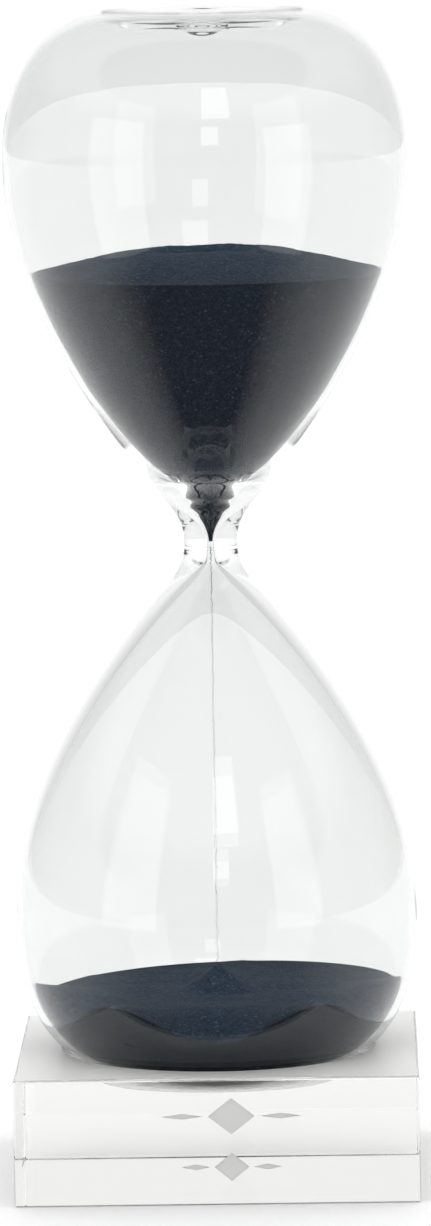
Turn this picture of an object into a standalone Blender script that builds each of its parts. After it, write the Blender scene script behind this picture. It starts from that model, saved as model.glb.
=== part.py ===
"""Hourglass that stands loose in a recessed crystal block.

Two blown glass bulbs are fused at a thick waist, hold dark sand and stand in a round recess in the
top of a solid block. Metres, +Z up. The origin is the middle of the block's underside, and the
block's ornamented front face looks towards -Y.
"""

import math

import bmesh
import bpy
from mathutils import Vector
from mathutils.geometry import interpolate_bezier

MM = 0.001

# Crystal block
BLOCK_SIDE = 80 * MM
BLOCK_HEIGHT = 25 * MM
BLOCK_EDGE = 0.5 * MM
RECESS_DEPTH = 5 * MM
RECESS_ROOM = 0.5 * MM

# Ornament: two rows of cut lozenges with tapered rules beside them, as (height, lozenge half width,
# lozenge half height, rule length)
ORNAMENT_MIDDLE = 2.9 * MM
ORNAMENT_DEPTH = 0.25 * MM
ORNAMENT_ROWS = (
    (17.5 * MM, 4.6 * MM, 3.6 * MM, 8.2 * MM),
    (7.4 * MM, 3.4 * MM, 2.8 * MM, 5.4 * MM),
)
RULE_HALF_HEIGHT = 0.55 * MM
RULE_GAP = 1.0 * MM

# Blown glass. Both bulbs share one outline, measured along the axis from the waist.
GAP = 0.3 * MM
BULB_LENGTH = 106.5 * MM
BULB_RADIUS = 40.3 * MM
WIDEST_AT = 76.5 * MM
END_FLAT_RADIUS = 18 * MM
WAIST_RADIUS = 5.3 * MM
FLANK_START = (10.7 * MM, 10.7 * MM)
FLANK_ANGLE = math.radians(39.5)
WALL = 1.3 * MM
ORIFICE_RADIUS = 1.0 * MM
CROWN_THICKNESS = 3.5 * MM
PUDDLE_RADIUS = 13.5 * MM
DRIP_RADIUS = 4.3 * MM
DRIP_DEPTH = 1.5 * MM
DIMPLE_RADIUS = 5 * MM
DIMPLE_DEPTH = 2.2 * MM

# Inside of each throat, as (distance from the waist, radius, angle from the axis, reach before it,
# reach after it). Past the last knot one curve joins the even wall.
UPPER_THROAT = (
    (0, ORIFICE_RADIUS, 0, 0, 2.3 * MM),
    (6.0 * MM, 2.5 * MM, math.radians(30), 2.3 * MM, 1.1 * MM),
    (8.5 * MM, 4.4 * MM, math.radians(34), 1.1 * MM, 2.8 * MM),
    (15.4 * MM, 11.9 * MM, math.radians(45), 3.7 * MM, 5.5 * MM),
)
UPPER_JOIN = (32 * MM, 7.5 * MM)
LOWER_THROAT = (
    (0, ORIFICE_RADIUS, 0, 0, 1.5 * MM),
    (4.4 * MM, 1.3 * MM, math.radians(10), 1.5 * MM, 0.8 * MM),
    (8.8 * MM, 4.4 * MM, math.radians(48), 1.9 * MM, 16 * MM),
)
LOWER_JOIN = (74 * MM, 27 * MM)
SEAL_RADIUS = 2.4 * MM
SEAL_HEIGHT = 1.6 * MM
WELD_HALF_HEIGHT = 0.6 * MM
WELD_PROUD = 0.15 * MM

# Sand
UPPER_SAND_EDGE = 54.2 * MM
UPPER_SAND_RISE = 4.6 * MM
CRATER_RADIUS = 11.5 * MM
CRATER_DEPTH = 5 * MM
HEAP_MIDDLE = 36.4 * MM
FRONT_LEVEL = 34.7 * MM
BACK_LEVEL = 36.1 * MM
BACK_LEAN = 1.05 * MM
BACK_EASES = (-0.35, 0.05)
LOBES = 6
LOBE_HEIGHT = 3.5 * MM
LOBES_START = 21 * MM
LOBES_END = 39 * MM
HUMP_HEIGHT = 5.2 * MM
HUMP_RADIUS = 8 * MM
STREAM_RADIUS = 0.45 * MM

SEGMENTS = 36
CURVE_STEPS = 7
SHARP_ANGLE = math.radians(40)

WAIST = BLOCK_HEIGHT - RECESS_DEPTH + GAP + BULB_LENGTH


def clear_scene():
    for existing in list(bpy.data.objects):
        bpy.data.objects.remove(existing, do_unlink=True)


def material(name, colour, roughness, transmission=0.0):
    made = bpy.data.materials.new(name)
    made.use_nodes = True
    made.diffuse_color = (*colour, 1.0)
    shader = made.node_tree.nodes["Principled BSDF"]
    shader.inputs["Base Color"].default_value = (*colour, 1.0)
    shader.inputs["Roughness"].default_value = roughness
    shader.inputs["Metallic"].default_value = 0.0
    shader.inputs["Transmission Weight"].default_value = transmission
    return made


def new_object(name, mesh, look):
    mesh.materials.append(look)
    made = bpy.data.objects.new(name, mesh)
    bpy.context.scene.collection.objects.link(made)
    return made


def mesh_from(name, shape):
    """The bmesh as a mesh, with its faces turned outwards and its round surfaces smooth."""
    bmesh.ops.recalc_face_normals(shape, faces=shape.faces)
    mesh = bpy.data.meshes.new(name)
    shape.to_mesh(mesh)
    shape.free()
    mesh.shade_smooth()
    mesh.set_sharp_from_angle(angle=SHARP_ANGLE)
    return mesh


def prism(outline, span):
    """A closed bmesh of one outline of points, extruded along the vector span."""
    shape = bmesh.new()
    face = shape.faces.new([shape.verts.new(point) for point in outline])
    swept = bmesh.ops.extrude_face_region(shape, geom=[face])["geom"]
    moved = [item for item in swept if isinstance(item, bmesh.types.BMVert)]
    bmesh.ops.translate(shape, verts=moved, vec=span)
    return shape


def turned(name, outline_at, look, ring=False):
    """A solid of revolution whose half outline, a list of (radius, height), may change with the angle.

    The outline runs from axis to axis, or is a loop clear of the axis when ring is set.
    """
    shape = bmesh.new()
    columns = []
    for step in range(SEGMENTS):
        angle = math.tau * step / SEGMENTS
        outline = outline_at(angle)
        rim = outline if ring else outline[1:-1]
        columns.append(
            [shape.verts.new((r * math.sin(angle), -r * math.cos(angle), z)) for r, z in rim]
        )
    ends = [] if ring else [shape.verts.new((0, 0, outline[end][1])) for end in (0, -1)]
    for column, following in zip(columns, columns[1:] + columns[:1]):
        rows = range(len(column) if ring else len(column) - 1)
        for row in rows:
            below = (row + 1) % len(column)
            shape.faces.new((column[row], following[row], following[below], column[below]))
        if ends:
            shape.faces.new((ends[0], following[0], column[0]))
            shape.faces.new((ends[1], column[-1], following[-1]))
    return new_object(name, mesh_from(name, shape), look)


def curve_between(start, out_angle, out_reach, end, in_angle, in_reach):
    """Points (distance from the waist, radius) on one curve that leaves and arrives at given angles."""
    first = Vector((*start, 0))
    last = Vector((*end, 0))
    leaving = first + out_reach * Vector((math.cos(out_angle), math.sin(out_angle), 0))
    arriving = last - in_reach * Vector((math.cos(in_angle), math.sin(in_angle), 0))
    points = interpolate_bezier(first, leaving, arriving, last, CURVE_STEPS)
    return [(point.x, point.y) for point in points]


def outer_outline():
    """The bulb's outside from the waist to the rim of its flat end."""
    widest = (WIDEST_AT, BULB_RADIUS)
    throat = curve_between((0, WAIST_RADIUS), 0, 4.7 * MM, FLANK_START, FLANK_ANGLE, 4.8 * MM)
    flank = curve_between(FLANK_START, FLANK_ANGLE, 14 * MM, widest, 0, 28.5 * MM)
    end_rim = (BULB_LENGTH, END_FLAT_RADIUS)
    shoulder = curve_between(widest, 0, 19 * MM, end_rim, math.radians(-90), 12.5 * MM)
    return throat + flank[1:] + shoulder[1:]


def offset_inwards(outline, by):
    """The outline moved towards the axis by a constant wall."""
    moved = []
    for before, here, after in zip(outline, outline[1:], outline[2:]):
        along = (Vector(after) - Vector(before)).normalized()
        moved.append((here[0] + by * along.y, here[1] - by * along.x))
    return moved


def inner_outline(throat, join):
    """The bulb's inside: the orifice, the throat through its knots and then an even wall."""
    join_at, reach = join
    even_wall = [p for p in offset_inwards(outer_outline(), WALL) if p[0] > join_at]
    joint, onward = even_wall[:2]
    direction = math.atan2(onward[1] - joint[1], onward[0] - joint[0])
    knots = [*throat, (*joint, direction, reach, 0)]
    inside = [throat[0][:2]]
    for near, far in zip(knots, knots[1:]):
        inside += curve_between(near[:2], near[2], near[4], far[:2], far[2], far[3])[1:]
    return inside + even_wall[1:] + [(BULB_LENGTH - WALL, END_FLAT_RADIUS)]


def radius_at(outline, distance):
    """The outline's radius at a distance from the waist, read between its points."""
    for (near, low), (far, high) in zip(outline, outline[1:]):
        if near <= distance <= far:
            return low + (high - low) * (distance - near) / (far - near)
    return outline[-1][1]


def block():
    """The crystal block with its bevelled edges, the recess for the glass and the cut ornament."""
    half = BLOCK_SIDE / 2
    square = [(-half, -half, 0), (half, -half, 0), (half, half, 0), (-half, half, 0)]
    shape = prism(square, Vector((0, 0, BLOCK_HEIGHT)))
    bmesh.ops.bevel(
        shape, geom=list(shape.edges), offset=BLOCK_EDGE, segments=1, affect="EDGES"
    )
    crystal = material("crystal", (0.93, 0.96, 0.95), 0.02, transmission=1.0)
    made = new_object("crystal_base", mesh_from("crystal_base", shape), crystal)
    cutters = [recess_cutter()]
    for height, half_width, half_height, rule in ORNAMENT_ROWS:
        cutters.append(lozenge_cutter(ORNAMENT_MIDDLE, height, half_width, half_height))
        for side in (-1, 1):
            reach = half_width + RULE_GAP + rule / 2
            middle = ORNAMENT_MIDDLE + side * reach
            cutters.append(lozenge_cutter(middle, height, rule / 2, RULE_HALF_HEIGHT))
    for number, cutter in enumerate(cutters):
        cutter.hide_render = True
        cutter.display_type = "WIRE"
        cut = made.modifiers.new(f"cut_{number}", "BOOLEAN")
        cut.object = cutter
        cut.operation = "DIFFERENCE"
        cut.solver = "EXACT"


def recess_cutter():
    """A dish: the foot of the glass with a little room round it, opened out above the block."""
    floor = BLOCK_HEIGHT - RECESS_DEPTH
    above = BLOCK_HEIGHT + RECESS_DEPTH
    roomy = [(r, WAIST - d) for d, r in reversed(offset_inwards(outer_outline(), -RECESS_ROOM))]
    side = [(r, z) for r, z in roomy if floor < z < above]
    section = [(0, floor), (END_FLAT_RADIUS, floor), *side, (0, side[-1][1])]
    return turned("recess_cutter", lambda angle: section, bpy.data.materials["crystal"])


def lozenge_cutter(middle, height, half_width, half_height):
    front = -BLOCK_SIDE / 2 - ORNAMENT_DEPTH
    corners = [
        (middle - half_width, front, height),
        (middle, front, height - half_height),
        (middle + half_width, front, height),
        (middle, front, height + half_height),
    ]
    mesh = mesh_from("lozenge_cutter", prism(corners, Vector((0, 2 * ORNAMENT_DEPTH, 0))))
    return new_object("lozenge_cutter", mesh, bpy.data.materials["crystal"])


def bulb_half_outline(inner, outer_end, inner_end):
    """The bulb's glass section from its outer pole round the throat's lip to its inner pole."""
    lip = WELD_HALF_HEIGHT + GAP
    outer = outer_outline()
    outside = [(r, d) for d, r in reversed(outer) if d > lip]
    inside = [(r, d) for d, r in inner if d > lip]
    lips = [(radius_at(outer, lip), lip), (radius_at(inner, lip), lip)]
    return outer_end + outside + lips + inside + inner_end


def lower_bulb(glass):
    inner = inner_outline(LOWER_THROAT, LOWER_JOIN)
    section = bulb_half_outline(inner, [(0, BULB_LENGTH)], [(0, BULB_LENGTH - WALL)])
    turned("lower_bulb", lambda angle: [(r, WAIST - d) for r, d in section], glass)


def upper_bulb(glass):
    """The crown is thick and flat. Outside it has a dimple where the filling hole was drawn in and
    closed, and inside it has the drip that the flame left."""
    pole = BULB_LENGTH - DIMPLE_DEPTH
    ceiling = BULB_LENGTH - CROWN_THICKNESS
    dimple = [
        (0, pole),
        (SEAL_RADIUS + GAP, pole),
        (DIMPLE_RADIUS, BULB_LENGTH - 0.2 * DIMPLE_DEPTH),
        (DIMPLE_RADIUS * 1.5, BULB_LENGTH),
    ]
    inside = [
        (PUDDLE_RADIUS, ceiling),
        (DRIP_RADIUS, ceiling),
        (0.5 * DRIP_RADIUS, ceiling - 0.7 * DRIP_DEPTH),
        (0, ceiling - DRIP_DEPTH),
    ]
    section = bulb_half_outline(inner_outline(UPPER_THROAT, UPPER_JOIN), dimple, inside)
    turned("upper_bulb", lambda angle: [(r, WAIST + d) for r, d in section], glass)


def neck_weld(glass):
    """The fused seam ring between the two throats, a little proud of them; its bore is the orifice."""
    proud = WAIST_RADIUS + WELD_PROUD
    section = [
        (ORIFICE_RADIUS, WAIST - WELD_HALF_HEIGHT),
        (WAIST_RADIUS, WAIST - WELD_HALF_HEIGHT),
        (proud, WAIST),
        (WAIST_RADIUS, WAIST + WELD_HALF_HEIGHT),
        (ORIFICE_RADIUS, WAIST + WELD_HALF_HEIGHT),
    ]
    turned("neck_weld", lambda angle: section, glass, ring=True)


def fill_seal(glass):
    """The flame-closed pip that stands in the upper bulb's dimple."""
    foot = WAIST + BULB_LENGTH - DIMPLE_DEPTH + GAP
    section = [
        (0, foot),
        (SEAL_RADIUS, foot),
        (SEAL_RADIUS, foot + 0.35 * SEAL_HEIGHT),
        (0.8 * SEAL_RADIUS, foot + 0.75 * SEAL_HEIGHT),
        (0.4 * SEAL_RADIUS, foot + 0.95 * SEAL_HEIGHT),
        (0, foot + SEAL_HEIGHT),
    ]
    turned("fill_seal", lambda angle: section, glass)


def upper_sand(sand):
    """Fills the upper bulb's funnel and bowl; its top is a low cone with a crater over the orifice."""
    wall = offset_inwards(inner_outline(UPPER_THROAT, UPPER_JOIN), GAP)
    tip = WELD_HALF_HEIGHT + 2 * GAP
    side = [(r, d) for d, r in wall if tip < d < UPPER_SAND_EDGE]
    tip_radius = ORIFICE_RADIUS - GAP
    edge = (radius_at(wall, UPPER_SAND_EDGE), UPPER_SAND_EDGE)
    rim = UPPER_SAND_EDGE + UPPER_SAND_RISE
    slope = [
        (edge[0] + (CRATER_RADIUS - edge[0]) * part, UPPER_SAND_EDGE + UPPER_SAND_RISE * part)
        for part in (0.3, 0.6, 0.9)
    ]
    crater = [
        (CRATER_RADIUS * part, rim - CRATER_DEPTH * (1 - part * part)) for part in (1.0, 0.75, 0.4, 0)
    ]
    section = [(0, tip), (tip_radius, tip), *side, edge, *slope, *crater]
    turned("upper_sand", lambda angle: [(r, WAIST + d) for r, d in section], sand)


def eased(value, low, high):
    """0 below low, 1 above high and a smooth rise between."""
    share = min(max((value - low) / (high - low), 0), 1)
    return share * share * (3 - 2 * share)


def heap_height(radius, angle):
    """The lower sand's top: a cone under the stream, lobes that climb the glass in front, and a
    nearly level back that leans to one side. The angle is taken from the front."""
    front = eased(math.cos(angle), *BACK_EASES)
    waves = FRONT_LEVEL + LOBE_HEIGHT * math.cos(LOBES * (angle - math.pi / LOBES))
    back = BACK_LEVEL + BACK_LEAN * math.sin(angle)
    edge = back + (waves - back) * front
    cone = HUMP_HEIGHT * max(0, 1 - radius / HUMP_RADIUS)
    return HEAP_MIDDLE + (edge - HEAP_MIDDLE) * eased(radius, LOBES_START, LOBES_END) + cone


def lower_sand(sand):
    """Fills the foot of the lower bulb up to its wavy edge against the glass."""
    wall = offset_inwards(inner_outline(LOWER_THROAT, LOWER_JOIN), GAP)
    foot = WAIST - BULB_LENGTH + WALL + GAP
    rings = 10

    def section_at(angle):
        edge_radius = radius_at(wall, WAIST - FRONT_LEVEL)
        top = heap_height(edge_radius, angle)
        floor_radius = wall[-1][1]
        floor_height = WAIST - wall[-1][0]
        side = []
        for part in (0.25, 0.5, 0.75, 1.0):
            height = floor_height + (top - floor_height) * part
            side.append((radius_at(wall, WAIST - height), height))
        surface = [
            (side[-1][0] * ring / rings, heap_height(side[-1][0] * ring / rings, angle))
            for ring in range(rings - 1, -1, -1)
        ]
        return [(0, foot), (floor_radius, floor_height), *side, *surface]

    turned("lower_sand", section_at, sand)


def sand_stream(sand):
    """The falling thread of grains, from the orifice to the hump."""
    top = WAIST + WELD_HALF_HEIGHT + GAP
    bottom = HEAP_MIDDLE + HUMP_HEIGHT + GAP
    section = [(0, bottom), (STREAM_RADIUS, bottom), (STREAM_RADIUS, top), (0, top)]
    turned("sand_stream", lambda angle: section, sand)


def main():
    clear_scene()
    block()
    glass = material("blown_glass", (0.95, 0.97, 0.96), 0.0, transmission=1.0)
    lower_bulb(glass)
    upper_bulb(glass)
    neck_weld(glass)
    fill_seal(glass)
    sand = material("dark_sand", (0.03, 0.04, 0.065), 0.85)
    upper_sand(sand)
    lower_sand(sand)
    sand_stream(sand)


main()
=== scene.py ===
# %% [markdown]
# # An hourglass that stands loose in a crystal block
#
# Two blown bulbs, fused at a thick waist and a third full of dark sand, stand in a round recess in a
# polished crystal block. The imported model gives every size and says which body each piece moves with.
# This lesson builds what the eye sees around it: real glass walls, sand that settles like sand, and
# the light that makes clear glass readable on a white table.

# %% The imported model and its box
import math
import random

import bpy
from mathutils import Matrix, Vector, noise


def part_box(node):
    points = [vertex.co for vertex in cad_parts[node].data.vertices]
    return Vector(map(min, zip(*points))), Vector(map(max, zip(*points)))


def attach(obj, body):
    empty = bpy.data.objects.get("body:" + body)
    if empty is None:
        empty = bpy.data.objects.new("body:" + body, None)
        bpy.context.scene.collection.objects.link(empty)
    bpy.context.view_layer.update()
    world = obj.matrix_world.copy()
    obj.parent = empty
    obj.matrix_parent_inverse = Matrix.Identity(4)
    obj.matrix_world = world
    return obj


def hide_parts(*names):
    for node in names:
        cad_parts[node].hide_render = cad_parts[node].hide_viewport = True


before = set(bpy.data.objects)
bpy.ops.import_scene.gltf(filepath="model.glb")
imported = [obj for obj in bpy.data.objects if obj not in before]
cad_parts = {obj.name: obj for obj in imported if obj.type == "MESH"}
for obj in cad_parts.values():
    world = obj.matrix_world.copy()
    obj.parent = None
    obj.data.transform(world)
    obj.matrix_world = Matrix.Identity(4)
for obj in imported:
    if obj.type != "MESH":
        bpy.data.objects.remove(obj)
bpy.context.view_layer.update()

MM = 0.001
print("pieces in the model:", sorted(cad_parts))

# %% [markdown]
# ## Sizes
#
# A glass blower works from a few turned sizes, so they come first. What the model already knows is
# read from it: the block's box, the height of the waist, the foot of the glass and its widest place.
# The others are the tools' own sizes, such as the wall that the blower leaves.

# %% Sizes read from the model
block_low, block_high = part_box("crystal_base")
foot_low, foot_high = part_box("lower_bulb")
weld_low, weld_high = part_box("neck_weld")
BLOCK_SIDE = block_high.x - block_low.x
BLOCK_HEIGHT = block_high.z
WAIST = (weld_low.z + weld_high.z) / 2
FOOT = foot_low.z
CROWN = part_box("upper_bulb")[1].z
BULB_LENGTH = WAIST - FOOT
BULB_RADIUS = foot_high.x
print(f"block {BLOCK_SIDE / MM:.1f} mm square, {BLOCK_HEIGHT / MM:.1f} mm high")
print(f"waist at {WAIST / MM:.1f} mm, bulbs {BULB_LENGTH / MM:.1f} mm long")

# %% Sizes of the glass and the recess
WALL = 1.3 * MM
WIDEST_AT = 76.5 * MM
END_FLAT = 18 * MM
WAIST_RADIUS = 5.3 * MM
FLANK_START = (10.7 * MM, 10.7 * MM)
FLANK_ANGLE = math.radians(39.5)
ORIFICE = 0.5 * MM
DISH_ROOM = 0.5 * MM
RECESS_DEPTH = 5 * MM
BLOCK_EDGE = 0.5 * MM
TURNS = 160

# %% [markdown]
# ## Small helpers
#
# Blender's operators act on whatever is selected, and the model arrives selected. So each helper
# starts by clearing the selection, and each piece is handed back by name.

# %% Selecting, naming and finishing
SAME_POINT = 0.002 * MM


def only(piece):
    """Makes one object the selected and active one."""
    bpy.ops.object.select_all(action="DESELECT")
    piece.select_set(True)
    bpy.context.view_layer.objects.active = piece


def named(name):
    """Names the object that an operator has just made."""
    made = bpy.context.object
    made.name = made.data.name = name
    return made


def face_outwards(piece, inside=False):
    """Closes the seams and poles, then turns the faces outwards, or inwards for a cavity."""
    only(piece)
    bpy.ops.object.mode_set(mode="EDIT")
    bpy.ops.mesh.select_all(action="SELECT")
    bpy.ops.mesh.remove_doubles(threshold=SAME_POINT)
    bpy.ops.mesh.normals_make_consistent(inside=inside)
    bpy.ops.object.mode_set(mode="OBJECT")


def apply_all(piece):
    only(piece)
    for change in list(piece.modifiers):
        bpy.ops.object.modifier_apply(modifier=change.name)


def remove(piece):
    bpy.data.objects.remove(piece, do_unlink=True)


# %% Drawing a profile and turning it
ROUNDED_UNDER = math.radians(35)


def drawn_profile(knots, resolution=20):
    """Points (radius, height) on a Bezier curve drawn through knots of (radius, height, tangent
    angle from the axis, handle before, handle after)."""
    bpy.ops.object.select_all(action="DESELECT")
    bpy.ops.curve.primitive_bezier_curve_add()
    curve = named("profile")
    spline = curve.data.splines[0]
    spline.bezier_points.add(len(knots) - 2)
    for point, (radius, height, angle, before, after) in zip(spline.bezier_points, knots):
        along = Vector((math.sin(angle), 0, math.cos(angle)))
        point.handle_left_type = point.handle_right_type = "FREE"
        point.co = (radius, 0, height)
        point.handle_left = point.co - before * along
        point.handle_right = point.co + after * along
    curve.data.resolution_u = resolution
    bpy.ops.object.convert(target="MESH")
    points = [(v.co.x, v.co.z) for v in bpy.context.object.data.vertices]
    remove(bpy.context.object)
    return points


def turned(name, points, turns=TURNS, inside=False):
    """The profile, a list of (radius, height) from axis to axis, turned round the Z axis."""
    mesh = bpy.data.meshes.new(name)
    edges = [(i, i + 1) for i in range(len(points) - 1)]
    mesh.from_pydata([(max(r, 0), 0, z) for r, z in points], edges, [])
    piece = bpy.data.objects.new(name, mesh)
    bpy.context.scene.collection.objects.link(piece)
    only(piece)
    bpy.ops.object.mode_set(mode="EDIT")
    bpy.ops.mesh.select_all(action="SELECT")
    bpy.ops.mesh.spin(steps=turns, angle=math.tau, center=(0, 0, 0), axis=(0, 0, 1))
    bpy.ops.object.mode_set(mode="OBJECT")
    face_outwards(piece, inside)
    bpy.ops.object.shade_smooth_by_angle(angle=ROUNDED_UNDER)
    print(f"{name}: {len(piece.data.polygons)} faces")
    return piece


def moved_sideways(points, by):
    """The profile moved squarely off itself, to the right of the way it runs."""
    moved = []
    for before, here, after in zip(points, points[1:], points[2:]):
        along = (Vector(after) - Vector(before)).normalized()
        moved.append((here[0] + by * along.y, here[1] - by * along.x))
    return moved


def radius_at(points, height):
    """The profile's radius at a height, read between its points."""
    for (low_r, low), (high_r, high) in zip(points, points[1:]):
        if min(low, high) <= height <= max(low, high) and low != high:
            return low_r + (high_r - low_r) * (height - low) / (high - low)
    return min(points, key=lambda p: abs(p[1] - height))[0]


# %% [markdown]
# ## The blown glass
#
# Each bulb is blown from tube, and the two are fused neck to neck, so the real glass is one closed
# wall with sand sealed inside. It could be a Solidify on one shell, but the wall isn't even: it
# swells to a nearly solid neck. So the outside and the inside are drawn as two profiles and turned.
# The inside's faces look into the cavity, which is what glass needs for light to bend right.

# %% Outside profile of one bulb
QUARTER = math.radians(90)


def bulb_outside():
    """(distance from the waist, radius) from the waist to the rim of the flat end."""
    knots = [
        (WAIST_RADIUS, 0, 0, 0, 4.7 * MM),
        (FLANK_START[1], FLANK_START[0], FLANK_ANGLE, 4.8 * MM, 14 * MM),
        (BULB_RADIUS, WIDEST_AT, 0, 28.5 * MM, 19 * MM),
        (END_FLAT, BULB_LENGTH, -QUARTER, 12.5 * MM, 0),
    ]
    return [(distance, radius) for radius, distance in drawn_profile(knots, 26)]


outside = bulb_outside()
lower_outside = [(r, WAIST - d) for d, r in reversed(outside)]
upper_outside = [(r, WAIST + d) for d, r in outside[1:]]
print(f"radius 10 mm from the waist: {radius_at(upper_outside, WAIST + 10 * MM) / MM:.2f} mm")

# %% [markdown]
# The crown is pressed flat while it is soft, so that the timer can stand on it too. The flame that
# closes the filling hole leaves a shallow dimple in the middle. A fine groove runs round the waist
# where the two necks were fused.

# %% Whole outside, with its seam and its dimple
SEAM_DEPTH = 0.05 * MM
SEAM_HALF = 0.14 * MM
SEAM_DROP = 1.2 * MM
DIMPLE_RADIUS = 5 * MM
DIMPLE_DEPTH = 2.2 * MM
DIMPLE_FLOOR = CROWN - DIMPLE_DEPTH


def grooved(points):
    """The outside from the foot to the crown's rim, with the seam's groove let into the neck."""
    groove = WAIST - SEAM_DROP
    kept_below = [p for p in points if p[1] < groove - SEAM_HALF]
    kept_above = [p for p in points if p[1] > groove + SEAM_HALF]
    cut = [
        (radius_at(points, groove - SEAM_HALF), groove - SEAM_HALF),
        (radius_at(points, groove) - SEAM_DEPTH, groove),
        (radius_at(points, groove + SEAM_HALF), groove + SEAM_HALF),
    ]
    return kept_below + cut + kept_above


dimple = drawn_profile([
    (END_FLAT, CROWN, -QUARTER, 0, 4 * MM),
    (DIMPLE_RADIUS, CROWN, -QUARTER, 4 * MM, 2 * MM),
    (0, DIMPLE_FLOOR, -QUARTER, 2.5 * MM, 0),
], 16)
outer_profile = [(0, FOOT), *grooved(lower_outside + upper_outside), *dimple[1:]]
print("outside profile:", len(outer_profile), "points")

# %% [markdown]
# Inside, the upper bulb narrows to a round-bottomed bowl, a short throat and a small funnel that
# feeds the orifice. Below the orifice the lower bulb opens in one long curve, because a sudden change
# of thickness would act as a lens and show as a dark patch. Past these the wall is even, so the
# outside's points are moved in by the wall. The crown is thicker: glass gathers there as it is closed.

# %% Inside profile
def bulb_inside(throat, join_at, reach):
    """The drawn throat, joined to the even wall beyond join_at in the wall's own direction."""
    even = [p for p in moved_sideways(outside, WALL) if p[0] > join_at]
    (start, start_radius), (onward, onward_radius) = even[:2]
    direction = math.atan2(onward_radius - start_radius, onward - start)
    drawn = drawn_profile([*throat, (start_radius, start, direction, reach, 0)], 24)
    return [(d, r) for r, d in drawn] + even[1:]


upper_bore = bulb_inside([
    (ORIFICE, 0, 0, 0, 2.27 * MM),
    (2.47 * MM, 6.0 * MM, math.radians(32.7), 2.27 * MM, 1.12 * MM),
    (4.36 * MM, 8.48 * MM, math.radians(33.9), 1.12 * MM, 1.04 * MM),
    (6.35 * MM, 10.56 * MM, math.radians(44.8), 1.04 * MM, 2.65 * MM),
    (11.86 * MM, 15.43 * MM, math.radians(45.0), 2.65 * MM, 5.5 * MM),
], 32 * MM, 7.5 * MM)
lower_bore = bulb_inside([
    (ORIFICE, 0, 0, 0, 1.2 * MM),
    (0.95 * MM, 4.4 * MM, math.radians(14), 1.5 * MM, 0.8 * MM),
    (4.4 * MM, 8.8 * MM, math.radians(48), 1.9 * MM, 16 * MM),
], 74 * MM, 27 * MM)
lower_inside = [(r, WAIST - d) for d, r in reversed(lower_bore)]
upper_inside = [(r, WAIST + d) for d, r in upper_bore[1:]]
CEILING = CROWN - 3.5 * MM
PUDDLE_RADIUS = 13.5 * MM
DRIP_RADIUS = 4.3 * MM
DRIP_DEPTH = 1.5 * MM
shoulder = upper_inside[-1]
ceiling = drawn_profile([
    (*shoulder, -QUARTER, 0, 3.0 * MM),
    (PUDDLE_RADIUS, CEILING, -QUARTER, 2.6 * MM, 3 * MM),
    (DRIP_RADIUS, CEILING, -QUARTER, 3 * MM, 1.2 * MM),
    (0, CEILING - DRIP_DEPTH, -QUARTER, 2.4 * MM, 0),
], 14)
inner_profile = [(0, lower_inside[0][1]), *lower_inside, *upper_inside, *ceiling[1:]]
print("inside profile:", len(inner_profile), "points")

# %% One wall from two surfaces
FINE_TURNS = 192
glass = turned("bulb_glass", outer_profile, FINE_TURNS)
cavity = turned("cavity", inner_profile, FINE_TURNS, inside=True)
bpy.ops.object.select_all(action="DESELECT")
cavity.select_set(True)
glass.select_set(True)
bpy.context.view_layer.objects.active = glass
bpy.ops.object.join()
print("glass wall:", len(glass.data.polygons), "faces")

# %% [markdown]
# ## The closed filling hole
#
# Sand goes in through a hole in the crown. The blower then draws it shut in a flame, which leaves a
# small pip in the dimple. The pip is a short turned drop.

# %% Filling pip
SEAL_RADIUS = 2.0 * MM
SEAL_HEIGHT = 1.5 * MM
PIP_TURNS = 48
pip_foot = DIMPLE_FLOOR + 0.2 * MM
pip_profile = drawn_profile([
    (0, pip_foot, QUARTER, 0, 0.8 * MM),
    (SEAL_RADIUS, pip_foot + 0.45 * SEAL_HEIGHT, 0, 0.35 * MM, 0.4 * MM),
    (0, pip_foot + SEAL_HEIGHT, -QUARTER, 0.9 * MM, 0),
], 10)
pip = turned("filling_pip", pip_profile, PIP_TURNS)

# %% [markdown]
# ## The crystal block
#
# The block is one piece of polished optical crystal. It could be cast, but a sharp, clear block is
# sawn, ground and polished, so it has flat faces that meet in narrow rounded edges. A cube is
# bevelled with three segments for that. The round recess is a dish, ground to the shape of the foot of
# the glass with a little room round it, so a turned cutter takes it out with a Boolean.

# %% Block, rounded edges and recess
DISH_FLOOR = BLOCK_HEIGHT - RECESS_DEPTH
CUTTER_RISE = 3 * MM
EDGE_STEPS = 3


def recess_cutter():
    """The foot's outline, moved outwards by the room, and opened above the block."""
    around_foot = moved_sideways(lower_outside, DISH_ROOM)
    rise = [(r, z) for r, z in around_foot if DISH_FLOOR < z < BLOCK_HEIGHT]
    rim = radius_at(around_foot, BLOCK_HEIGHT)
    above = BLOCK_HEIGHT + CUTTER_RISE
    print(f"dish rim radius {rim / MM:.1f} mm")
    return turned("recess_cutter", [
        (0, DISH_FLOOR), (END_FLAT, DISH_FLOOR), *rise, (rim, BLOCK_HEIGHT),
        (rim + CUTTER_RISE, above), (0, above),
    ])


def cut_away(piece, cutter):
    only(piece)
    cut = piece.modifiers.new("cut", "BOOLEAN")
    cut.object = cutter
    cut.operation = "DIFFERENCE"
    cut.solver = "EXACT"
    apply_all(piece)
    remove(cutter)


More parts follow.
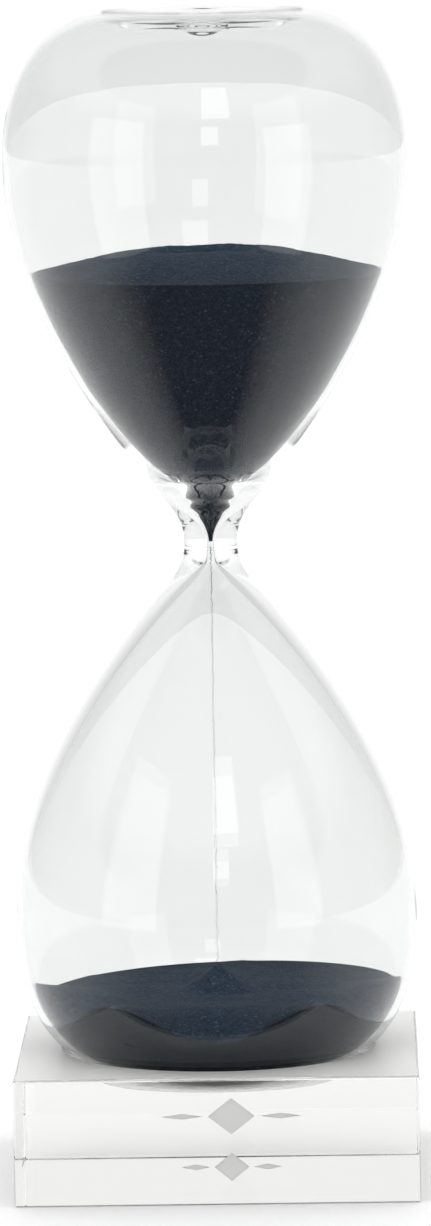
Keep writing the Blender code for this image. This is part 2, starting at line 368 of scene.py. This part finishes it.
bpy.ops.object.select_all(action="DESELECT")
bpy.ops.mesh.primitive_cube_add(
    size=1, location=(0, 0, BLOCK_HEIGHT / 2), scale=(BLOCK_SIDE, BLOCK_SIDE, BLOCK_HEIGHT)
)
block = named("crystal_block")
bpy.ops.object.transform_apply(location=True, rotation=True, scale=True)
bpy.ops.object.mode_set(mode="EDIT")
bpy.ops.mesh.select_all(action="SELECT")
bpy.ops.mesh.bevel(offset=BLOCK_EDGE, segments=EDGE_STEPS, affect="EDGES")
bpy.ops.object.mode_set(mode="OBJECT")
cut_away(block, recess_cutter())
print("block with recess:", len(block.data.polygons), "faces")

# %% [markdown]
# ## The cut ornament
#
# The front face is engraved. Engraving is a shallow cut with a ground, frosted floor. Two rows of
# plain lozenges with tapered rules take the place of the real engraving. Each is a four-sided outline
# pushed into the face, and the cut's floor later gets the frosted finish. The block is then shaded
# smooth only over very small angles, because a flat face that is shaded into its edge bends what is
# seen through it.

# %% Lozenges and rules
ORNAMENT_MIDDLE = 2.9 * MM
ORNAMENT_DEPTH = 0.25 * MM
ORNAMENT_ROWS = (
    (17.5 * MM, 4.6 * MM, 3.6 * MM, 8.2 * MM),
    (7.4 * MM, 3.4 * MM, 2.8 * MM, 5.4 * MM),
)
RULE_HALF_HEIGHT = 0.55 * MM
RULE_GAP = 1.0 * MM
FLAT_OVER = math.radians(12)


def lozenge_cutter(middle, height, half_width, half_height):
    bpy.ops.object.select_all(action="DESELECT")
    bpy.ops.mesh.primitive_cylinder_add(
        vertices=4, radius=1, depth=2 * ORNAMENT_DEPTH, location=(middle, block_low.y, height),
        rotation=(math.radians(90), 0, 0), scale=(half_width, half_height, 1),
    )
    cutter = named("lozenge_cutter")
    bpy.ops.object.transform_apply(location=True, rotation=True, scale=True)
    return cutter


for height, half_width, half_height, rule in ORNAMENT_ROWS:
    cut_away(block, lozenge_cutter(ORNAMENT_MIDDLE, height, half_width, half_height))
    for side in (-1, 1):
        reach = half_width + RULE_GAP + rule / 2
        cut_away(block, lozenge_cutter(
            ORNAMENT_MIDDLE + side * reach, height, rule / 2, RULE_HALF_HEIGHT))
only(block)
bpy.ops.object.shade_smooth_by_angle(angle=FLAT_OVER)
print("engraved block:", len(block.data.polygons), "faces")

# %% [markdown]
# ## Sand in the upper bulb
#
# Dry sand fills the funnel to the wall. As it runs out, its top sinks first over the orifice, so a
# low cone is left with a crater in the middle. The heap is turned from one profile, and its top is
# then roughened point by point, because no two sides of a real heap are the same.

# %% Upper heap
SAND_GAP = 0.12 * MM
UPPER_EDGE = WAIST + 54.2 * MM
CRATER_RADIUS = 11.5 * MM
CRATER_RIM = WAIST + 58.8 * MM
CRATER_FLOOR = WAIST + 53.8 * MM
SAND_FOOT = WAIST + 0.4 * MM
LUMPS_PER_METRE = 120
RIPPLES_PER_METRE = 900
CLEAR_OF_WALL = 1 * MM


def beside_wall(low, high, count):
    """Points just inside the glass between two heights."""
    heights = [low + (high - low) * i / (count - 1) for i in range(count)]
    return [(max(radius_at(inner_profile, z) - SAND_GAP, 0.1 * MM), z) for z in heights]


def resampled(points, spacing):
    """The profile with its long stretches divided, so that the surface can be roughened."""
    dense = [points[0]]
    for start, end in zip(points, points[1:]):
        length = math.dist(start, end)
        parts = max(1, round(length / spacing))
        for part in range(1, parts + 1):
            share = part / parts
            dense.append(tuple(a + (b - a) * share for a, b in zip(start, end)))
    return dense


def roughen_top(piece, is_top, coarse, fine, seed):
    """Moves a heap's top up and down by soft noise."""
    offset = Vector((seed, 2 * seed, 3 * seed))
    for v in piece.data.vertices:
        if is_top(v.co):
            v.co.z += coarse * noise.noise(v.co * LUMPS_PER_METRE + offset)
            v.co.z += fine * noise.noise(v.co * RIPPLES_PER_METRE + offset)
    piece.data.update()


upper_side = beside_wall(SAND_FOOT, UPPER_EDGE, 90)
edge_radius = upper_side[-1][0]
upper_top = drawn_profile([
    (edge_radius, UPPER_EDGE, math.radians(-80), 0, 4 * MM),
    (CRATER_RADIUS, CRATER_RIM, math.radians(-92), 5 * MM, 2.4 * MM),
    (0, CRATER_FLOOR, -QUARTER, 5 * MM, 0),
], 22)
upper_heap = turned("upper_heap", [
    (0, SAND_FOOT), *upper_side, *resampled(upper_top[1:], 0.8 * MM)], FINE_TURNS)
roughen_top(
    upper_heap, lambda co: co.z > UPPER_EDGE + 0.2 * MM
    and co.xy.length < edge_radius - CLEAR_OF_WALL, 0.5 * MM, 0.18 * MM, 3.1,
)

# %% [markdown]
# ## Sand in the lower bulb
#
# The lower heap rests on the foot of the glass. Shaken level and then turned over, it keeps a wavy
# edge against the wall, and the falling stream builds a small cone in the middle. A turned blank
# gives it its rings of faces, and a formula for the height of its top then moves every point into
# place: the top to the formula, the side to the inside of the glass.

# %% Shape of the lower heap's top
HEAP_MIDDLE = 36.4 * MM
FRONT_LEVEL = 34.7 * MM
BACK_LEVEL = 36.1 * MM
BACK_LEAN = 1.05 * MM
LOBES = 6
LOBE_HEIGHT = 3.5 * MM
LOBES_START = 21 * MM
LOBES_END = 39 * MM
LOBE_SHIFT = math.radians(4.3)
LOBE_STRETCH = math.radians(0.9)
HUMP_HEIGHT = 5.2 * MM
HUMP_RADIUS = 8.0 * MM
HUMP_HOLLOW = 1.15
BEHIND, ABREAST = -0.35, 0.05


def eased(value, low, high):
    """0 below low, 1 above high and a smooth rise between."""
    share = min(max((value - low) / (high - low), 0), 1)
    return share * share * (3 - 2 * share)


def heap_height(x, y):
    """Height of the sand's top over a point: lobes along the front wall, a plain edge behind."""
    radius = math.hypot(x, y)
    angle = math.atan2(x, -y)
    swing = angle - LOBE_SHIFT * math.sin(angle) - LOBE_STRETCH * math.sin(3 * angle)
    front = eased(math.cos(angle), BEHIND, ABREAST)
    waves = FRONT_LEVEL + LOBE_HEIGHT * math.cos(LOBES * (swing - math.pi / LOBES))
    back = BACK_LEVEL + BACK_LEAN * math.sin(angle)
    edge = back + (waves - back) * front
    near_wall = eased(radius, LOBES_START, LOBES_END)
    hump = HUMP_HEIGHT * max(0, 1 - radius / HUMP_RADIUS) ** HUMP_HOLLOW
    return HEAP_MIDDLE + (edge - HEAP_MIDDLE) * near_wall + hump


NEAR_GLASS = 38 * MM
trough = heap_height(0, -NEAR_GLASS)
print(f"hump top {heap_height(0, 0) / MM:.1f} mm, front trough {trough / MM:.1f} mm")

# %% Lower heap
heap_floor = inner_profile[0][1] + SAND_GAP
heap_foot = heap_floor + 0.01 * MM
LOWER_RINGS = 56
SIDE_RINGS = 26
FOOT_RINGS = 6
BLANK_SIDE = 14 * MM
ROUGH_ABOVE = 30 * MM
ROUGH_WITHIN = 36 * MM
blank_top = heap_foot + BLANK_SIDE + 1 * MM
lower_heap = turned("lower_heap", [
    (0, heap_floor),
    *[(END_FLAT * i / FOOT_RINGS, heap_floor) for i in range(1, FOOT_RINGS)],
    *[(END_FLAT, heap_foot + BLANK_SIDE * i / SIDE_RINGS) for i in range(SIDE_RINGS)],
    *[(END_FLAT * (1 - i / LOWER_RINGS), blank_top) for i in range(LOWER_RINGS)],
    (0, blank_top),
], FINE_TURNS)
for v in lower_heap.data.vertices:
    radius, angle = math.hypot(v.co.x, v.co.y), math.atan2(v.co.x, -v.co.y)
    edge_z = heap_height(NEAR_GLASS * math.sin(angle), -NEAR_GLASS * math.cos(angle))
    edge = radius_at(lower_inside, edge_z) - SAND_GAP
    if v.co.z > blank_top - 0.1 * MM:
        reach = radius / END_FLAT * edge
        x, y = reach * math.sin(angle), -reach * math.cos(angle)
        v.co = (x, y, heap_height(x, y) if reach < edge * 0.999 else edge_z)
    elif radius > END_FLAT * 0.99:
        height = heap_foot + (edge_z - heap_foot) * (v.co.z - heap_foot) / BLANK_SIDE
        reach = radius_at(lower_inside, height) - SAND_GAP
        v.co = (reach * math.sin(angle), -reach * math.cos(angle), height)
face_outwards(lower_heap)
roughen_top(
    lower_heap, lambda co: co.z > ROUGH_ABOVE and co.xy.length < ROUGH_WITHIN,
    0.35 * MM, 0.12 * MM, 7.7,
)

# %% [markdown]
# ## Falling grains
#
# The stream isn't a rod: it's a thread of single grains that draw apart as they fall. One grain is
# modelled as a squashed twenty-sided pebble and copied along the fall with its own turn and size.

# %% Grain and stream
SQUASH = (1.0, 0.82, 0.7)


def grain_shape():
    """Corners and faces of one pebble, about one unit in radius."""
    bpy.ops.object.select_all(action="DESELECT")
    bpy.ops.mesh.primitive_ico_sphere_add(subdivisions=1, radius=1)
    pebble = named("grain")
    bpy.ops.object.mode_set(mode="EDIT")
    bpy.ops.transform.resize(value=SQUASH)
    bpy.ops.object.mode_set(mode="OBJECT")
    corners = [v.co.copy() for v in pebble.data.vertices]
    faces = [tuple(f.vertices) for f in pebble.data.polygons]
    remove(pebble)
    return corners, faces


GRAIN_CORNERS, GRAIN_FACES = grain_shape()


def grains_at(name, places, chance):
    """One mesh of copied grains, each place being (point, size)."""
    corners, faces = [], []
    for place, size in places:
        turn = Matrix.Rotation(chance.uniform(0, math.tau), 3, Vector((
            chance.uniform(-1, 1), chance.uniform(-1, 1), chance.uniform(-1, 1) + 0.01)))
        first = len(corners)
        corners += [place + turn @ (corner * size) for corner in GRAIN_CORNERS]
        faces += [tuple(first + i for i in face) for face in GRAIN_FACES]
    mesh = bpy.data.meshes.new(name)
    mesh.from_pydata(corners, [], faces)
    piece = bpy.data.objects.new(name, mesh)
    bpy.context.scene.collection.objects.link(piece)
    print(f"{name}: {len(places)} grains")
    return piece


GRAINS = 440
DRAWN_APART = 1.25
THREAD_RADIUS = 0.17 * MM
THREAD_WIDENING = 0.2 * MM
SMALLEST_GRAIN, LARGEST_GRAIN = 0.07, 0.13

chance = random.Random(41)
stream_top = WAIST - 1.0 * MM
stream_foot = heap_height(0, 0) + 0.3 * MM
places = []
for number in range(GRAINS):
    fall = (number / (GRAINS - 1)) ** DRAWN_APART
    spread = THREAD_RADIUS + THREAD_WIDENING * fall
    away, turn = spread * math.sqrt(chance.random()), chance.uniform(0, math.tau)
    height = stream_top + (stream_foot - stream_top) * fall
    places.append((
        Vector((away * math.cos(turn), away * math.sin(turn), height)),
        chance.uniform(SMALLEST_GRAIN, LARGEST_GRAIN) * MM,
    ))
stream = grains_at("falling_grains", places, chance)

# %% [markdown]
# ## Finishes
#
# Clear glass and crystal are refraction with almost no colour. Blown glass has a faint ripple, and
# polished crystal is flatter. Sand is matt and dark, each grain a little different, and a few grains
# are painted light as painted glints, for grains that catch the light. Against the wall the sand looks
# darker than its top, so faces that don't look up are painted darker: painted shade, where the light
# from above falls less. The engraving's floor is ground, so it scatters what passes. The block's top
# is taken to be satin, as a fine wheel leaves it, and its dish a little clearer. Both are guesses.

# %% Node helpers
def new_finish(name, **values):
    finish = bpy.data.materials.new(name)
    finish.use_nodes = True
    shader = finish.node_tree.nodes["Principled BSDF"]
    for socket, value in values.items():
        shader.inputs[socket.replace("_", " ")].default_value = value
    return finish, finish.node_tree, shader


def node(tree, kind, **settings):
    made = tree.nodes.new(kind)
    for key, value in settings.items():
        setattr(made, key, value)
    return made


def object_pattern(tree, kind, scale, **settings):
    """A procedural texture on the piece's own coordinates."""
    place = node(tree, "ShaderNodeTexCoord")
    texture = node(tree, kind, **settings)
    texture.inputs["Scale"].default_value = scale
    tree.links.new(place.outputs["Object"], texture.inputs["Vector"])
    return texture


def ramp(tree, source, stops):
    made = node(tree, "ShaderNodeValToRGB")
    while len(made.color_ramp.elements) < len(stops):
        made.color_ramp.elements.new(0.5)
    for element, (place, colour) in zip(made.color_ramp.elements, stops):
        element.position = place
        element.color = (*colour, 1) if isinstance(colour, tuple) else (colour,) * 3 + (1,)
    tree.links.new(source, made.inputs["Fac"])
    return made


def bump(tree, shader, height, distance, strength):
    made = node(tree, "ShaderNodeBump")
    made.inputs["Distance"].default_value = distance
    made.inputs["Strength"].default_value = strength
    tree.links.new(height, made.inputs["Height"])
    tree.links.new(made.outputs["Normal"], shader.inputs["Normal"])


def fill_sockets(tree, sockets, values):
    """Gives each socket its value, which is a number or another node's output."""
    for socket, value in zip(sockets, values):
        if isinstance(value, (int, float)):
            socket.default_value = value
        else:
            tree.links.new(value, socket)


def maths(tree, operation, *values, clamp=False):
    made = node(tree, "ShaderNodeMath", operation=operation, use_clamp=clamp)
    fill_sockets(tree, made.inputs, values)
    return made.outputs[0]


def tinted(tree, share, colour, tint):
    """The colour multiplied by the tint, by a share of it."""
    made = node(tree, "ShaderNodeMix", data_type="RGBA", blend_type="MULTIPLY")
    fill_sockets(tree, (made.inputs["Factor"], made.inputs["A"], made.inputs["B"]),
                 (share, colour, tint))
    return made.outputs["Result"]


# %% Blown glass
def blown_glass():
    finish, tree, shader = new_finish(
        "blown_glass", Base_Color=(0.908, 0.919, 0.912, 1), Roughness=0.0, IOR=1.47,
        Transmission_Weight=1.0,
    )
    ripple = object_pattern(tree, "ShaderNodeTexNoise", 38)
    bump(tree, shader, ripple.outputs["Fac"], 0.12 * MM, 0.35)
    return finish


# %% Polished and satin crystal, and the ground engraving
def cut_crystal(name, clearness, roughness, haze):
    """Crystal that lets through a share of the light, the haze being what a ground face scatters."""
    finish, tree, shader = new_finish(
        name, Base_Color=(clearness, clearness, clearness - 0.01, 1), Roughness=roughness,
        IOR=1.52, Transmission_Weight=1 - haze,
    )
    polish = object_pattern(tree, "ShaderNodeTexNoise", 60)
    bump(tree, shader, polish.outputs["Fac"], 0.01 * MM, 0.2)
    return finish


def ground_engraving():
    finish, tree, shader = new_finish(
        "ground_engraving", Base_Color=(0.62, 0.62, 0.61, 1), Roughness=0.55, IOR=1.52,
        Transmission_Weight=0.5,
    )
    tooth = object_pattern(tree, "ShaderNodeTexNoise", 4200)
    bump(tree, shader, tooth.outputs["Fac"], 0.03 * MM, 0.6)
    return finish


# %% Dark sand
GRAINS_PER_METRE = 2900
# Painted shade: the share of the sand's colour kept on faces that don't look up.
PAINTED_SIDE_SHADE = 0.5


def dark_sand():
    finish, tree, shader = new_finish("dark_sand", Roughness=0.75, Specular_IOR_Level=0.35)
    cells = object_pattern(tree, "ShaderNodeTexVoronoi", GRAINS_PER_METRE)
    tint = node(tree, "ShaderNodeSeparateColor")
    tree.links.new(cells.outputs["Color"], tint.inputs["Color"])
    colours = ramp(tree, tint.outputs["Red"], [
        (0.0, (0.007, 0.018, 0.040)),
        (0.60, (0.016, 0.040, 0.080)),
        (0.965, (0.028, 0.062, 0.115)),
        # Painted glints: the rarest grains get a light colour that stands for grains catching the
        # light.
        (0.994, (0.08, 0.125, 0.17)),
    ])
    surface = node(tree, "ShaderNodeNewGeometry")
    facing = node(tree, "ShaderNodeSeparateXYZ")
    tree.links.new(surface.outputs["Normal"], facing.inputs[0])
    # Painted shade: faces that look sideways or down are coloured darker than the top, where light from
    # above falls less.
    painted_shade_by_facing = ramp(tree, facing.outputs["Z"], [(0.35, PAINTED_SIDE_SHADE), (0.75, 1.0)])
    shaded = tinted(tree, 1.0, colours.outputs["Color"], painted_shade_by_facing.outputs["Color"])
    tree.links.new(shaded, shader.inputs["Base Color"])
    bump(tree, shader, cells.outputs["Distance"], 0.10 * MM, 0.5)
    return finish


# %% Finishes on the pieces
glass_finish = blown_glass()
crystal_finish = cut_crystal("polished_crystal", 0.90, 0.0, 0.0)
satin_finish = cut_crystal("satin_crystal", 0.98, 0.34, 0.62)
dish_finish = cut_crystal("lapped_crystal", 0.94, 0.26, 0.12)
engraving_finish = ground_engraving()
sand_finish = dark_sand()
for piece in (glass, pip):
    piece.data.materials.append(glass_finish)
for finish in (crystal_finish, engraving_finish, satin_finish, dish_finish):
    block.data.materials.append(finish)
for piece in (upper_heap, lower_heap, stream):
    piece.data.materials.append(sand_finish)
DISH_REACH = 33 * MM
ORNAMENT_REACH = 30 * MM
top_plane = BLOCK_HEIGHT - 0.01 * MM
ground = [f for f in block.data.polygons if 0.02 * MM < f.center.y - block_low.y < 0.4 * MM
          and 1 * MM < f.center.z < BLOCK_HEIGHT - 1 * MM and abs(f.center.x) < ORNAMENT_REACH]
dish = [f for f in block.data.polygons if f.center.xy.length < DISH_REACH
        and DISH_FLOOR - 0.1 * MM < f.center.z < top_plane]
satin = [f for f in block.data.polygons if f.normal.z > 0.99 and f.center.z > top_plane]
for number, faces in enumerate((ground, satin, dish), start=1):
    for f in faces:
        f.material_index = number
print(len(ground), "ground,", len(satin), "satin and", len(dish), "dish faces")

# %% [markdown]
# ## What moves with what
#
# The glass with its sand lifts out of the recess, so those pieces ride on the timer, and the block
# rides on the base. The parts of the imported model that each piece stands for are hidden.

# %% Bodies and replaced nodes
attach(block, "base")
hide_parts("crystal_base")
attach(glass, "timer")
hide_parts("lower_bulb", "upper_bulb", "neck_weld")
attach(pip, "timer")
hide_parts("fill_seal")
for piece, node_name in (
    (upper_heap, "upper_sand"), (lower_heap, "lower_sand"), (stream, "sand_stream"),
):
    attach(piece, "timer")
    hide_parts(node_name)

# %% [markdown]
# ## Table and surroundings
#
# Clear glass is drawn by what it bends and mirrors. The usual way to show it is a bright field: a
# white table and background, a dim side where the camera stands, and two tall softboxes that lay
# long highlights down the bulbs. The world gives the field, and area lights are the softboxes. Two
# smaller lamps high up stand for a window, whose image lies in the middle of each bulb.

# %% Table top
TABLE_RADIUS = 6
UNDER_BLOCK = 0.2 * MM
bpy.ops.object.select_all(action="DESELECT")
bpy.ops.mesh.primitive_circle_add(vertices=96, radius=TABLE_RADIUS, fill_type="NGON")
table = named("pale_table")
bpy.ops.object.mode_set(mode="EDIT")
bpy.ops.mesh.inset(thickness=0.05)
bpy.ops.object.mode_set(mode="OBJECT")
for v in table.data.vertices:
    v.co.z = -UNDER_BLOCK
print(f"table {2 * TABLE_RADIUS} m across")

# %% [markdown]
# The laminate is a studio trick that no real table does. It is white when it is looked at, but what
# one mirroring shows of it is shaded towards the front, to stand for a dark room behind the camera.
# Light Path tells the two apart, and rays that light the sand aren't shaded. Close to the block, what
# shows through the crystal is shaded less, or the block would look dark.

# %% Laminate
NEAR_FADE = (-5.0, 1.2)
SPARED_SHARE = 0.6
table_finish, table_tree, table_shader = new_finish("pale_laminate", Roughness=0.6)
flecks = object_pattern(table_tree, "ShaderNodeTexNoise", 900)
pale = ramp(table_tree, flecks.outputs["Fac"], [(0.3, 0.90), (0.7, 0.93)])
where = node(table_tree, "ShaderNodeTexCoord")
table_axes = node(table_tree, "ShaderNodeSeparateXYZ")
table_tree.links.new(where.outputs["Object"], table_axes.inputs[0])
to_front = maths(table_tree, "MULTIPLY", table_axes.outputs["Y"], -1)
table_azimuth = maths(table_tree, "DIVIDE", maths(table_tree, "ABSOLUTE", maths(
    table_tree, "ARCTAN2", table_axes.outputs["X"], to_front)), math.pi)
front_shade = ramp(table_tree, table_azimuth, [(0.22, 0.015), (0.42, 0.7), (0.7, 1.0)])
far = node(table_tree, "ShaderNodeVectorMath", operation="LENGTH")
table_tree.links.new(where.outputs["Object"], far.inputs[0])
in_mirror = node(table_tree, "ShaderNodeLightPath")
once = maths(
    table_tree, "MULTIPLY",
    maths(table_tree, "COMPARE", in_mirror.outputs["Glossy Depth"], 1.0, 0.25),
    maths(table_tree, "LESS_THAN", in_mirror.outputs["Diffuse Depth"], 0.5))
near = maths(table_tree, "MULTIPLY_ADD", far.outputs["Value"], *NEAR_FADE, clamp=True)
spared = maths(table_tree, "MULTIPLY", near, maths(
    table_tree, "SUBTRACT", 1.0, in_mirror.outputs["Is Glossy Ray"]))
shaded = maths(table_tree, "MULTIPLY", once, maths(
    table_tree, "MULTIPLY_ADD", spared, -SPARED_SHARE, 1.0))
table_colour = tinted(
    table_tree, shaded, pale.outputs["Color"], front_shade.outputs["Color"])
table_tree.links.new(table_colour, table_shader.inputs["Base Color"])
table.data.materials.append(table_finish)

# %% [markdown]
# The world does the same: it has one brightness for each direction and kind of ray. What is seen
# straight, or through the glass, is white. What one mirroring shows runs from dark at the front to
# white at the back, which draws the rims of the bulbs. Light on the sand comes mostly from overhead.

# %% Directions of the bright field
world = bpy.data.worlds.new("bright_field")
bpy.context.scene.world = world
world.use_nodes = True
sky = world.node_tree
direction = node(sky, "ShaderNodeTexCoord")
axes = node(sky, "ShaderNodeSeparateXYZ")
sky.links.new(direction.outputs["Generated"], axes.inputs[0])
around = maths(sky, "ARCTAN2", axes.outputs["X"], maths(sky, "MULTIPLY", axes.outputs["Y"], -1))
away_from_front = maths(sky, "DIVIDE", maths(sky, "ABSOLUTE", around), math.pi)
level_ring = ramp(sky, away_from_front, [
    (0.0, 0.02), (0.50, 0.05), (0.70, 0.42), (0.83, 0.70), (0.92, 1.0),
])
floor_ring = ramp(sky, away_from_front, [
    (0.0, 0.0), (0.30, 0.03), (0.50, 0.45), (0.65, 0.75), (1.0, 0.9),
])
height = maths(sky, "MULTIPLY_ADD", axes.outputs["Z"], 0.5, 0.5)
looking_down = ramp(sky, height, [(0.38, 1.0), (0.52, 0.0)])
looking_up = ramp(sky, height, [(0.66, 0.0), (0.76, 1.0)])

# %% Brightness of the bright field
def world_mix(share, first, second):
    made = node(sky, "ShaderNodeMix", data_type="FLOAT")
    sockets = [made.inputs[name] for name in ("Factor", "A", "B")]
    fill_sockets(sky, sockets, (share, first, second))
    return made.outputs["Result"]


CEILING_LIGHT = 0.7
mirrored = world_mix(
    looking_down.outputs["Color"], level_ring.outputs["Color"], floor_ring.outputs["Color"])
mirrored = world_mix(looking_up.outputs["Color"], mirrored, CEILING_LIGHT)
path = node(sky, "ShaderNodeLightPath")
looked_at = maths(sky, "LESS_THAN", path.outputs["Diffuse Depth"], 0.5)
seen = maths(sky, "MULTIPLY", looked_at, maths(
    sky, "MAXIMUM", path.outputs["Is Camera Ray"], path.outputs["Is Transmission Ray"]))
OPEN_LIGHT = 1.34
overhead = maths(sky, "MAXIMUM", axes.outputs["Z"], 0.0)
falling = maths(sky, "MULTIPLY", maths(sky, "MULTIPLY_ADD", overhead, 1.2, 0.2), OPEN_LIGHT)
level = world_mix(seen, falling, 1.0)
mirrored_once = maths(sky, "COMPARE", path.outputs["Glossy Depth"], 1.0, 0.25)
was_mirrored = maths(sky, "MULTIPLY", looked_at, mirrored_once)
inner_ring = ramp(sky, away_from_front, [(0.26, 0.02), (0.44, 0.26), (0.64, 0.9)])
inner = world_mix(path.outputs["Is Glossy Ray"], inner_ring.outputs["Color"], mirrored)
backdrop = sky.nodes["Background"]
backdrop.inputs["Color"].default_value = (1, 1, 1, 1)
sky.links.new(world_mix(was_mirrored, level, inner), backdrop.inputs["Strength"])

# %% Softboxes
def softbox(name, azimuth, distance, low, high, width, power):
    """A tall panel that faces the axis, its azimuth in degrees from the front, towards +X."""
    turn = math.radians(azimuth)
    middle = (low + high) / 2
    place = Vector((distance * math.sin(turn), -distance * math.cos(turn), middle))
    bpy.ops.object.select_all(action="DESELECT")
    bpy.ops.object.light_add(type="AREA", location=place)
    lamp = named(name)
    lamp.data.shape = "RECTANGLE"
    lamp.data.size = width
    lamp.data.size_y = high - low
    lamp.data.energy = power * width * (high - low)
    lamp.rotation_euler = (math.radians(90), 0, turn)
    lamp.visible_camera = False
    lamp.visible_diffuse = False
    print(f"{name}: {lamp.data.energy:.2f} W")


PANEL_POWER = 2.6
softbox("left_softbox", -48, 0.28, 0.045, 0.30, 0.16, PANEL_POWER)
softbox("right_softbox", 47, 0.28, 0.045, 0.28, 0.135, PANEL_POWER)
WINDOW_POWER = 5.0
softbox("high_window", 8, 1.0, 0.61, 1.13, 0.30, WINDOW_POWER)
softbox("low_window", 4, 1.0, 0.35, 0.52, 0.17, WINDOW_POWER)

# %% [markdown]
# ## Camera
#
# The view is from a little above the rim of the glass, straight at the front, with a long lens, as
# for a catalogue picture.

# %% Camera
CAMERA_DISTANCE = 1607.9 * MM
CAMERA_HEIGHT = 296.8 * MM
CAMERA_AZIMUTH = math.radians(1.0)
LOOK_DOWN = math.radians(6.539)
ROLL = math.radians(-0.932)
IMAGE_HEIGHT = 1226
FOCAL = 8090
SENSOR = 36

level_ahead = Vector((-math.sin(CAMERA_AZIMUTH), math.cos(CAMERA_AZIMUTH), 0))
level_right = Vector((math.cos(CAMERA_AZIMUTH), math.sin(CAMERA_AZIMUTH), 0))
upright = Vector((0, 0, 1))
ahead = level_ahead * math.cos(LOOK_DOWN) - upright * math.sin(LOOK_DOWN)
over = level_ahead * math.sin(LOOK_DOWN) + upright * math.cos(LOOK_DOWN)
right = level_right * math.cos(ROLL) + over * math.sin(ROLL)
top = -level_right * math.sin(ROLL) + over * math.cos(ROLL)
bpy.ops.object.select_all(action="DESELECT")
bpy.ops.object.camera_add(location=(
    CAMERA_DISTANCE * math.sin(CAMERA_AZIMUTH), -CAMERA_DISTANCE * math.cos(CAMERA_AZIMUTH),
    CAMERA_HEIGHT,
))
camera = named("camera")
camera.rotation_euler = Matrix((right, top, -ahead)).transposed().to_euler()
camera.data.sensor_width = SENSOR
camera.data.lens = FOCAL * SENSOR / IMAGE_HEIGHT
camera.data.shift_x = 0.003
camera.data.clip_end = 60
bpy.context.scene.camera = camera
bpy.context.scene.view_settings.view_transform = "Standard"
bpy.context.scene.cycles.max_bounces = 32
bpy.context.scene.cycles.transmission_bounces = 32
bpy.context.scene.cycles.glossy_bounces = 24
print(f"lens {camera.data.lens:.1f} mm")
